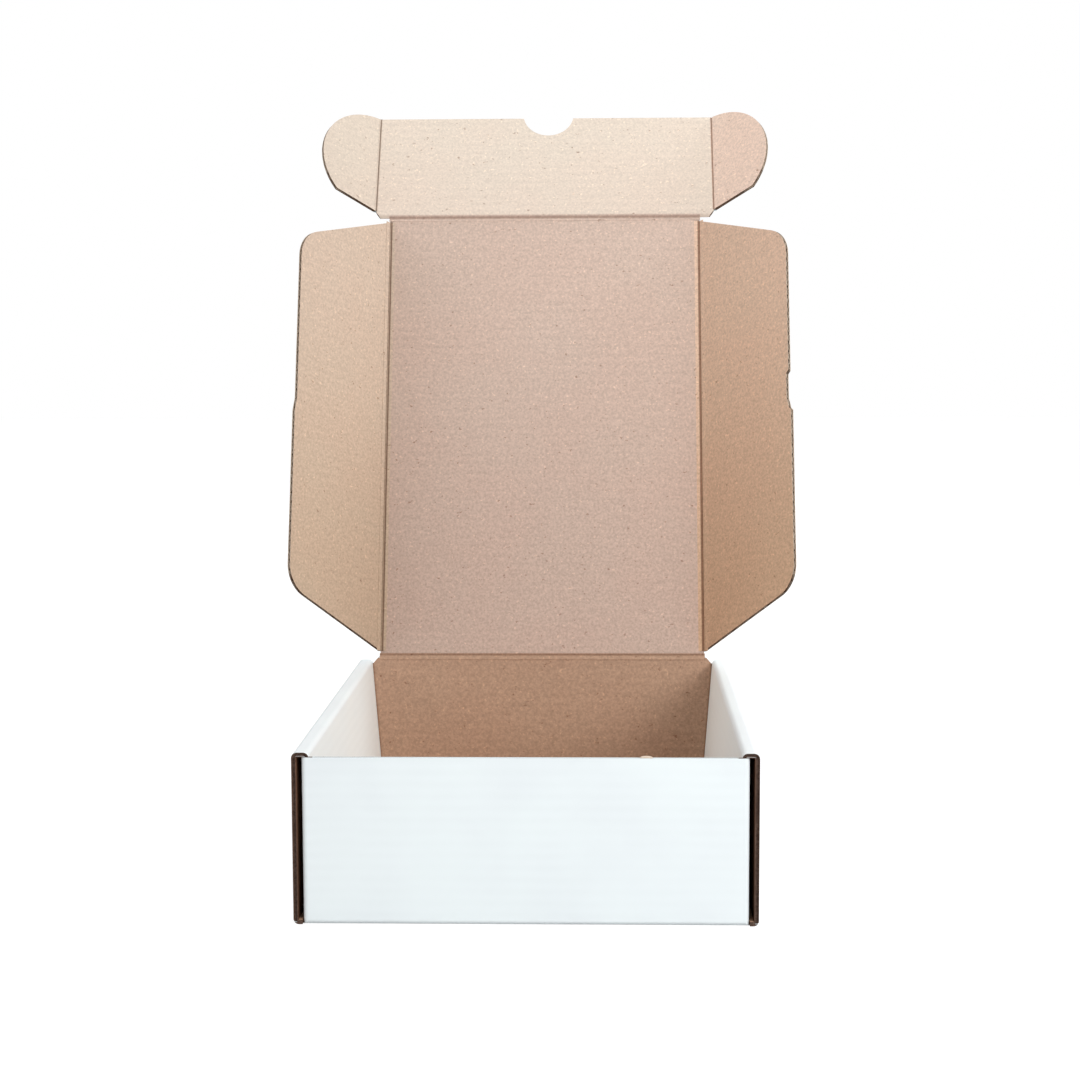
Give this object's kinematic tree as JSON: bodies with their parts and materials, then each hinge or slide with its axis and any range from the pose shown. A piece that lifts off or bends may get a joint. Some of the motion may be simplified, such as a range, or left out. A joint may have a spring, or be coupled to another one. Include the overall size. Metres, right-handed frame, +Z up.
{
  "type": "corrugated mailer box",
  "caption": "Roll-end corrugated mailer box folded from one sheet, white outside and kraft inside, standing open with hinged lid, side wings and a front tuck flap with locking ears.",
  "frame": {"origin": "middle of the tray's underside, on the surface it stands on", "axes": "+X to the box's right seen from the front, +Y to its back, +Z up; the lid hinges at the back"},
  "size_m": [0.3285, 0.451, 0.4664],
  "materials": {
    "white_board": "white-faced board",
    "kraft_board": "matt kraft liner"
  },
  "bodies": {
    "tray": {"tray": "white_board"},
    "lid": {"lid": "kraft_board"},
    "left_wing": {"left_wing": "kraft_board"},
    "right_wing": {"right_wing": "kraft_board"},
    "tuck_flap": {"tuck_flap": "kraft_board"},
    "left_ear": {"left_ear": "kraft_board"},
    "right_ear": {"right_ear": "kraft_board"}
  },
  "joints": [
    {"name": "lid_hinge", "type": "hinge", "parent": "tray", "child": "lid", "pos_m": [0, 0.1537, 0.0952], "axis": [1, 0, 0], "range_deg": [-72, 108]},
    {"name": "left_wing_crease", "type": "hinge", "parent": "lid", "child": "left_wing", "pos_m": [-0.109, 0.1537, 0.0952], "axis": [0, 0.309, 0.9511], "range_deg": [-59.8, 89.7]},
    {"name": "right_wing_crease", "type": "hinge", "parent": "lid", "child": "right_wing", "pos_m": [0.109, 0.1537, 0.0952], "axis": [0, -0.309, -0.9511], "range_deg": [-62.7, 94]},
    {"name": "tuck_crease", "type": "hinge", "parent": "lid", "child": "tuck_flap", "pos_m": [0, 0.24959, 0.39031], "axis": [1, 0, 0], "range_deg": [-45, 104]},
    {"name": "left_ear_crease", "type": "hinge", "parent": "tuck_flap", "child": "left_ear", "pos_m": [-0.11928, 0.24959, 0.39031], "axis": [0, 0.5299, 0.848], "range_deg": [-36.7, 55]},
    {"name": "right_ear_crease", "type": "hinge", "parent": "tuck_flap", "child": "right_ear", "pos_m": [0.11928, 0.24959, 0.39031], "axis": [0, -0.5299, -0.848], "range_deg": [-36.7, 55]}
  ],
  "couplings": [
    {"joint": "left_wing_crease", "follows": "lid_hinge", "ratio": 0.83},
    {"joint": "right_wing_crease", "follows": "lid_hinge", "ratio": 0.87},
    {"joint": "left_ear_crease", "follows": "lid_hinge", "ratio": 0.50926},
    {"joint": "right_ear_crease", "follows": "lid_hinge", "ratio": 0.50926}
  ]
}
